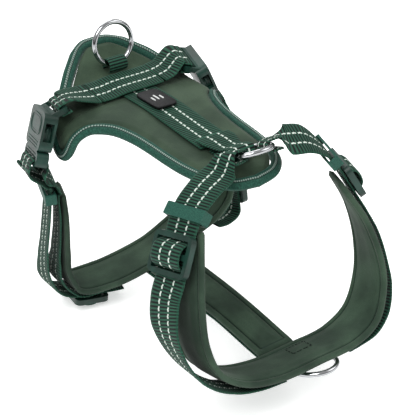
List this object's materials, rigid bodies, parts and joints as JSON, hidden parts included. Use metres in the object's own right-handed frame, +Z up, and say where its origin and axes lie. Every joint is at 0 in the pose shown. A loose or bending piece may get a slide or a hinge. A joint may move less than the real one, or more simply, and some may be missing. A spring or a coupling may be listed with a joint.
{
  "type": "no pull dog harness",
  "caption": "Small dog harness with a bound saddle pad, padded chest and girth loops, ribbed webbing, side-release buckles, strap sliders and steel leash rings.",
  "frame": {"origin": "middle of the flat patch on the underside of the saddle pad, on the middle line, under the label", "axes": "+Z up, -Y towards the dog's head, +X towards the dog's left side"},
  "size_m": [0.1742, 0.2432, 0.1897],
  "materials": {
    "neoprene": "cloth-faced foam padding",
    "webbing": "ribbed nylon strap",
    "binding": "woven edge binding",
    "keeper": "smooth moulded loop",
    "plastic": "matte acetal",
    "steel": "polished",
    "rubber": "matte"
  },
  "bodies": {
    "harness": {"saddle_pad": "neoprene", "saddle_binding": "binding", "cross_strap": "webbing", "spine_strap": "webbing", "spine_loop": "webbing", "label_patch": "rubber", "rear_ring_tab": "webbing", "shoulder_strap_left": "webbing", "shoulder_keeper_left": "keeper", "shoulder_strap_right": "webbing", "shoulder_keeper_right": "keeper", "chest_pad": "neoprene", "girth_pad": "neoprene", "sternum_pad": "neoprene", "sternum_webbing": "webbing", "chest_ring_tab": "webbing", "buckle_plug_left": "plastic", "girth_webbing_left": "webbing", "buckle_plug_right": "plastic", "girth_webbing_right": "webbing", "girth_keeper_left": "keeper", "girth_keeper_right": "keeper"},
    "rear_ring_body": {"rear_ring": "steel"},
    "neck_ring_body": {"neck_ring": "steel"},
    "chest_ring_body": {"chest_ring": "steel"},
    "left_housing": {"buckle_housing_left": "plastic", "cross_strap_end_left": "webbing"},
    "left_front_arm": {"buckle_arm_left_front": "plastic"},
    "left_rear_arm": {"buckle_arm_left_rear": "plastic"},
    "right_housing": {"buckle_housing_right": "plastic", "cross_strap_end_right": "webbing"},
    "right_front_arm": {"buckle_arm_right_front": "plastic"},
    "right_rear_arm": {"buckle_arm_right_rear": "plastic"},
    "shoulder_left_glide": {"shoulder_left_slider": "plastic", "shoulder_left_slider_webbing": "webbing"},
    "shoulder_right_glide": {"shoulder_right_slider": "plastic", "shoulder_right_slider_webbing": "webbing"},
    "girth_left_glide": {"girth_left_slider": "plastic", "girth_left_slider_webbing": "webbing"},
    "girth_right_glide": {"girth_right_slider": "plastic", "girth_right_slider_webbing": "webbing"}
  },
  "joints": [
    {"name": "rear_ring_swing", "type": "hinge", "parent": "harness", "child": "rear_ring_body", "pos_m": [0, 0.035, 0.0155], "axis": [1, 0, 0], "range_deg": [-45, 80]},
    {"name": "neck_ring_spin", "type": "hinge", "parent": "harness", "child": "neck_ring_body", "pos_m": [0, -0.109, 0.0095], "axis": [0, 0.4078, 0.9131], "continuous": true},
    {"name": "chest_ring_spin", "type": "hinge", "parent": "harness", "child": "chest_ring_body", "pos_m": [0.01, -0.164, -0.1189], "axis": [0, 0.2474, 0.9689], "continuous": true},
    {"name": "left_buckle_slide", "type": "slide", "parent": "harness", "child": "left_housing", "axis": [-0.4354, -0.029, 0.8998], "range_m": [0, 0.02]},
    {"name": "left_front_squeeze", "type": "hinge", "parent": "harness", "child": "left_front_arm", "pos_m": [0.05917, 0.00688, -0.01116], "axis": [-0.8677, 0.2799, -0.4108], "range_deg": [0, 5], "stiffness_Nm_per_rad": 0.4},
    {"name": "left_rear_squeeze", "type": "hinge", "parent": "harness", "child": "left_rear_arm", "pos_m": [0.06459, 0.02857, -0.00783], "axis": [0.8677, -0.2799, 0.4108], "range_deg": [0, 5], "stiffness_Nm_per_rad": 0.4},
    {"name": "right_buckle_slide", "type": "slide", "parent": "harness", "child": "right_housing", "axis": [0.3595, 0.0899, 0.9288], "range_m": [0, 0.02]},
    {"name": "right_front_squeeze", "type": "hinge", "parent": "harness", "child": "right_front_arm", "pos_m": [-0.07699, 0.00308, -0.01312], "axis": [-0.8945, 0.3165, 0.3156], "range_deg": [0, 5], "stiffness_Nm_per_rad": 0.4},
    {"name": "right_rear_squeeze", "type": "hinge", "parent": "harness", "child": "right_rear_arm", "pos_m": [-0.07099, 0.02442, -0.01751], "axis": [0.8945, -0.3165, -0.3156], "range_deg": [0, 5], "stiffness_Nm_per_rad": 0.4},
    {"name": "shoulder_left_slider_slide", "type": "slide", "parent": "harness", "child": "shoulder_left_glide", "axis": [-0.4703, 0.206, 0.8582], "range_m": [-0.01, 0.003]},
    {"name": "shoulder_right_slider_slide", "type": "slide", "parent": "harness", "child": "shoulder_right_glide", "axis": [0.4705, 0.2406, 0.849], "range_m": [-0.01, 0.006]},
    {"name": "girth_left_slider_slide", "type": "slide", "parent": "harness", "child": "girth_left_glide", "axis": [-0.0229, 0.1371, 0.9903], "range_m": [-0.006, 0.008]},
    {"name": "girth_right_slider_slide", "type": "slide", "parent": "harness", "child": "girth_right_glide", "axis": [-0.9822, 0.1271, 0.1387], "range_m": [-0.006, 0.006]}
  ]
}
